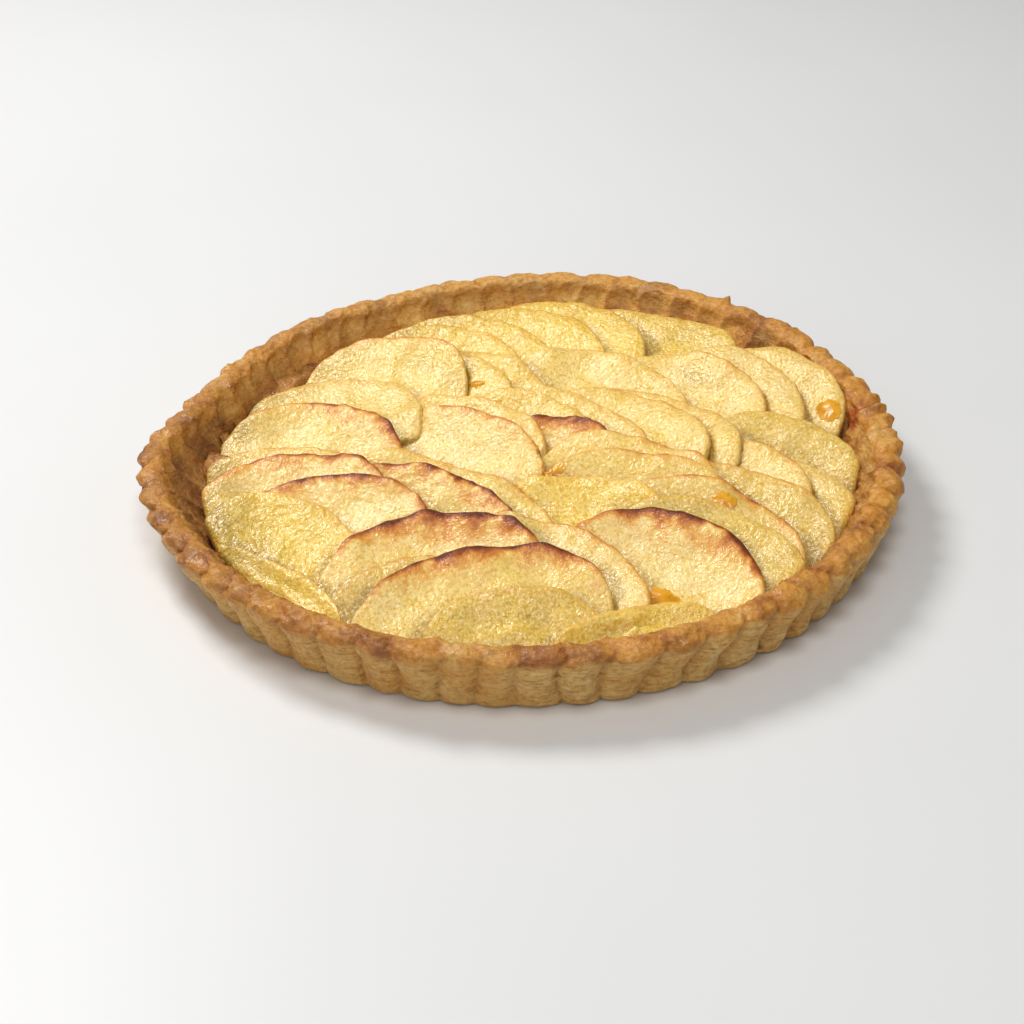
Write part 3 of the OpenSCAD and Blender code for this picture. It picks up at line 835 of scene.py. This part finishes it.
def lay_slice(stack, name, order, sizes):
    """Lays one slice on those before it. Works out the bed that it sags onto, and adds it
    to the heights of the stack."""
    leaf = Leaf(name)
    leaf.seed = 1.7 + order * 0.913
    own = noise.noise(Vector((leaf.seed * 3.1, 0.5, 7.7)))
    thick = leaf.thick = sizes.slice_thickness * 1000 * (1 + 0.25 * own)
    leaf.toast, leaf.yellow, leaf.curl = BAKE[name[6:]]
    # how much darker, greener colour the face gets: partly wet flesh, partly painted shade
    leaf.wet = WET_AND_SHADED.get(name[6:], 0.05)
    # where it lies on the grid
    spot = leaf.spot = stack.window(leaf.middle, leaf.half + 6)
    x, y, top = stack.x[spot], stack.y[spot], stack.top[spot]
    dx, dy = x - leaf.middle[0], y - leaf.middle[1]
    far = np.hypot(dx, dy)
    reach = leaf.reach(np.arctan2(dy, dx))
    cover = (far <= reach).astype(float)
    on = cover > 0
    # it rests on its plane, and sinks at most 0.55 of its thickness into what is higher
    rest = leaf.plane(x, y) - (thick - 2.0) * 0.6
    press = 0.55 * thick
    bed = np.maximum(rest, top - press)
    for _ in range(2):
        bed = np.maximum(blur(bed, cover, 3), top - press)
    bed = blur(bed, cover, 2)
    rise, lift, _, _, _ = relief(leaf, sizes, x[on], y[on], np.maximum(reach - far, 0)[on])
    # what shows from above, what the next slices lie on, and its own underside
    stack.face[spot][on] = bed[on] + rise
    top[on] = np.maximum(top[on], bed[on] + 0.9 * thick + 0.4 * sizes.slice_crown * 1000
                         + 0.35 * lift)
    low = stack.under[spot]
    low[on] = np.minimum(low[on], bed[on])
    leaf.bed = bed_field(stack, spot, bed, cover)
    leaf.ceiling = np.full(cover.shape, 99.0)
    leaf.ceiling[on] = bed[on] + 0.25 * lift
    return leaf


def surroundings(stack):
    """How high the faces around each place stand: a dip lies well below this."""
    peak = np.full(stack.face.shape, -99.0)
    for step in (2.0, 4.0, 6.5):
        for turn in np.arange(12) * math.pi / 6:
            moved = stack.at(stack.face, stack.x + step * math.cos(turn),
                             stack.y + step * math.sin(turn))
            peak = np.maximum(peak, moved - 0.35 * step)
    return peak


def shape_slice(stack, peak, leaf, sizes):
    """One laid slice as a closed mesh, marked with its browning, yellowness and the painted
    shade of its dips.
    """
    bm = bmesh.new()
    x, y, inset = leaf_sheet(bm, leaf.middle, leaf.along, leaf.across, leaf.reach, 76, 40,
                             leaf.seed, 0.8)
    rise, lift, ripple, fold, v_share = relief(leaf, sizes, x, y, inset)
    u_share = ((x - leaf.middle[0]) * leaf.along[0]
               + (y - leaf.middle[1]) * leaf.along[1]) / leaf.half
    base = stack.at(leaf.bed, x, y)
    over = np.minimum(base + rise, stack.at(stack.ceiling, x, y) - 0.05)
    # a slice is cut thicker towards its round edge, so that most of the lift is filled
    rounded = np.clip(1 - inset / (sizes.slice_round * 1000), 0, 1)
    under = np.minimum(base + 0.3 * ripple + 0.3 * lift + leaf.thick * 0.15 * rounded,
                       over - 0.35)
    numbers = thicken(bm, over, under)
    spot = leaf.spot
    stack.ceiling[spot] = np.minimum(stack.ceiling[spot], leaf.ceiling)
    # the browning: a line along the rim and a halo inside it, most in the middle of its arc
    phase = 0.8 * noise.noise(Vector((leaf.seed, 0, 0)))
    arc = 0.45 + 0.55 * np.cos(np.clip(u_share * 1.5 + phase, -1.5, 1.5))
    bow = smooth(-0.35, 0.7, v_share)
    streak = np.array([rough(a, b, 0, 6.0, leaf.seed + 4) + 0.6 * rough(a, b, 0, 2.2, leaf.seed)
                       for a, b in zip(x, y)])
    line = np.exp(-(inset / (1.0 + 1.3 * leaf.toast * (1 + 0.8 * streak)).clip(0.5)) ** 2)
    halo = np.exp(-inset / (1.5 + 6.0 * leaf.toast)) * (0.7 + 0.75 * streak)
    burn = leaf.toast * bow * arc * (0.85 * line + 0.85 * halo)
    edge = np.exp(-inset / 3.2) * (0.4 + 0.6 * bow) * (0.85 + 0.7 * streak)
    # painted shade, darker and duller: down in the dips where the faces around stand higher,
    # and towards the wall at the left, where it is partly wetter flesh too
    dip = smooth(0.9, 3.4, stack.at(peak, x, y) - over)
    wall = smooth(82, 104, np.hypot(x, y)) * (0.15 + 0.5 * smooth(20, -60, x))
    wall = wall * smooth(-72, -48, y)
    deep = 0.65 * dip + (wall + leaf.wet) * (1 + 0.6 * streak)
    fields = {"toast": burn, "tint": leaf.yellow + 0.25 * fold, "edge": edge, "deep": deep}
    for name, field in fields.items():
        layer = bm.verts.layers.float.new(name)
        for v, i in zip(bm.verts, numbers):
            # only the upper lip of the round edge has browned
            share = 0.4 if name == "toast" and v.co.z <= over[i] - 0.1 else 1.0
            v[layer] = float(np.clip(field[i], 0, 1) * share)
    return bm


class TART_OT_slices(bpy.types.Operator):
    """Apple slices: each is laid on those before it, sags onto them and curls at its rim"""
    bl_idname = "tart.slices"
    bl_label = "Apple slices"

    def execute(self, context):
        sizes = context.scene.tart_sizes
        material = baked_apple(context.scene.tart_colours)
        _, filling_high = node_box_mm("filling")
        stack = Stack(filling_high[2])
        names = [p["node"] for p in frame["record"]["subparts"]
                 if p["node"].startswith("apple_")]
        laid = [lay_slice(stack, name, order, sizes) for order, name in enumerate(names)]
        peak = surroundings(stack)
        # from the top of the heap down, so that no slice comes up through those on it
        for name, leaf in reversed(list(zip(names, laid))):
            bm = shape_slice(stack, peak, leaf, sizes)
            finish_piece(bm, "baked_" + name, material, "baked_apple", name)
        # the filling and the glaze are laid against these heights
        TART_OT_slices.stack = stack
        return {"FINISHED"}


class TART_OT_filling(bpy.types.Operator):
    """Filling: a crumbly layer under the slices, heaped against the wall"""
    bl_idname = "tart.filling"
    bl_label = "Spiced filling"

    def execute(self, context):
        stack = TART_OT_slices.stack
        low, high = node_box_mm("filling")
        radius = (high[0] - low[0]) / 2
        bm = bmesh.new()
        x_axis, y_axis = np.array((1.0, 0.0)), np.array((0.0, 1.0))
        x, y, inset = leaf_sheet(bm, (0.0, 0.0), x_axis, y_axis,
                                 lambda turn: np.full(len(turn), radius - 0.1),
                                 170, 170, 2.0, 0.0)
        heap = np.array([1.6 * rough(a, b, 0, 12.0, 3) + 0.9 * rough(a, b, 0, 4.0, 5)
                         + 0.5 * rough(a, b, 0, 1.8, 7) for a, b in zip(x, y)])
        level = high[2] + 5.0 * smooth(20.0, 0.0, inset) + heap
        cap = stack.at(stack.under, x, y) - 0.5
        level = np.maximum(np.minimum(level, np.minimum(cap, 60)), low[2] + 0.6)
        # a heap reaches further out, because the wall leans away
        push = 1 + 0.45 * np.clip(level - high[2], 0, 9) * (1 - smooth(0, 5, inset)) / radius
        for v, p in zip(bm.verts, push):
            v.co *= p
        thicken(bm, level, np.full(len(x), low[2]))
        # soaked with apple syrup at the left, drier and darker at the right
        layer = bm.verts.layers.float.new("syrup")
        for v in bm.verts:
            v[layer] = float(smooth(80, -20, v.co.x + 22 * rough(v.co.x, v.co.y, 0, 14.0, 2)))
        finish_piece(bm, "cinnamon_filling", spiced_filling(context.scene.tart_colours),
                     "spiced_filling", "filling")
        return {"FINISHED"}


class TART_OT_glaze(bpy.types.Operator):
    """Apricot glaze: pools that settled in the dips between the slices"""
    bl_idname = "tart.glaze"
    bl_label = "Apricot glaze"

    def execute(self, context):
        stack = TART_OT_slices.stack
        material = apricot_glaze(context.scene.tart_colours)
        depth = context.scene.tart_sizes.glaze_depth * 1000
        names = [p["node"] for p in frame["record"]["subparts"]
                 if p["node"].startswith("glaze_")]
        for order, name in enumerate(names):
            leaf = Leaf(name)
            middle = leaf.middle + np.array(RUN.get(name, (0.0, 0.0)))
            bm = bmesh.new()
            x, y, inset = leaf_sheet(bm, middle, leaf.along, leaf.across, leaf.reach,
                                     30, 30, 4.0 + order, 1.3)
            bed = stack.at(stack.face, x, y)
            wide = max(inset.max(), 0.1)
            dome = depth * smooth(-0.3 * wide, 0.7 * wide, inset)
            numbers = thicken(bm, bed + dome + 0.12, bed - 0.6)
            layer = bm.verts.layers.float.new("thin")
            for v, i in zip(bm.verts, numbers):
                v[layer] = float(0.15 - 0.15 * smooth(0.0, 0.35 * wide, inset[i]))
            finish_piece(bm, "jam_" + name, material, "apricot_glaze", name)
        return {"FINISHED"}


class TART_OT_stage(bpy.types.Operator):
    """Stage: a pale floor, soft lights and the camera"""
    bl_idname = "tart.stage"
    bl_label = "Stage"

    def execute(self, context):
        props = context.scene.tart_stage
        colours = context.scene.tart_colours
        bm = bmesh.new()
        bmesh.ops.create_grid(bm, x_segments=8, y_segments=8, size=3.0)
        mesh = bpy.data.meshes.new("studio_floor")
        bm.to_mesh(mesh)
        bm.free()
        mesh.materials.append(painted_floor(colours))
        floor = bpy.data.objects.new("studio_floor", mesh)
        context.scene.collection.objects.link(floor)
        floor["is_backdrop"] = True

        # the view is centred a little left of, in front of and below the tart's middle
        low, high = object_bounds()
        middle = (low + high) / 2
        aim = Vector((middle.x - 0.0027, middle.y - 0.0008, -0.0059))
        back = Vector((0, -math.cos(props.elevation), math.sin(props.elevation)))
        data = bpy.data.cameras.new("view")
        data.lens = props.lens
        data.sensor_width = 36
        data.clip_start = 0.01
        camera = bpy.data.objects.new("view", data)
        turn = back.to_track_quat("Z", "Y").to_matrix() @ Matrix.Rotation(props.roll, 3, "Z")
        camera.matrix_world = Matrix.Translation(aim + back * props.distance) @ turn.to_4x4()
        context.scene.collection.objects.link(camera)
        context.scene.camera = camera

        # each lamp: name, place and disk size in metres, power and colour
        for name, place, size, power, tone in (
                ("window", (-0.5, 0.5, 0.88), 0.4, props.key * 0.93, (1.0, 0.98, 0.95)),
                ("overhead", (0.05, -0.42, 1.1), 0.4, props.key * 0.5, (1.0, 0.99, 0.97)),
                ("fill", (-0.5, -1.1, 0.8), 1.2, props.fill, (1.0, 0.99, 0.98))):
            lamp = bpy.data.lights.new(name, "AREA")
            lamp.shape = "DISK"
            lamp.size = size
            lamp.energy = power
            lamp.color = tone
            light = bpy.data.objects.new(name, lamp)
            spot = Vector(place)
            light.matrix_world = (Matrix.Translation(spot)
                                  @ spot.to_track_quat("Z", "Y").to_matrix().to_4x4())
            context.scene.collection.objects.link(light)

        world = bpy.data.worlds.new("soft room")
        context.scene.world = world
        world.use_nodes = True
        sky = world.node_tree.nodes["Background"]
        sky.inputs["Color"].default_value = linear("e4e4e2")
        sky.inputs["Strength"].default_value = 0.32
        context.scene.view_settings.view_transform = "Standard"
        return {"FINISHED"}


class TART_PT_panel(bpy.types.Panel):
    """Lists the tart's sizes, colours and pieces"""
    bl_label = "Apple tart"
    bl_idname = "TART_PT_panel"
    bl_space_type = "VIEW_3D"
    bl_region_type = "UI"
    bl_category = "Tart"

    def draw(self, context):
        for group in (context.scene.tart_sizes, context.scene.tart_colours,
                      context.scene.tart_stage):
            box = self.layout.box()
            for key in group.__annotations__:
                box.prop(group, key)
        for operator in OPERATORS:
            self.layout.operator(operator.bl_idname)


OPERATORS = (TART_OT_crust, TART_OT_slices, TART_OT_filling, TART_OT_glaze, TART_OT_stage)
GROUPS = (("tart_sizes", TartSizes), ("tart_colours", TartColours), ("tart_stage", TartStage))


def register():
    for _, group in GROUPS:
        bpy.utils.register_class(group)
    for cls in (*OPERATORS, TART_PT_panel):
        bpy.utils.register_class(cls)
    for key, group in GROUPS:
        setattr(bpy.types.Scene, key, bpy.props.PointerProperty(type=group))


def unregister():
    for key, _ in GROUPS:
        delattr(bpy.types.Scene, key)
    for cls in (TART_PT_panel, *reversed(OPERATORS)):
        bpy.utils.unregister_class(cls)
    for _, group in reversed(GROUPS):
        bpy.utils.unregister_class(group)


def main():
    register()
    bpy.ops.tart.crust()
    bpy.ops.tart.slices()
    bpy.ops.tart.filling()
    bpy.ops.tart.glaze()
    bpy.ops.tart.stage()


if __name__ == "__main__":
    main()
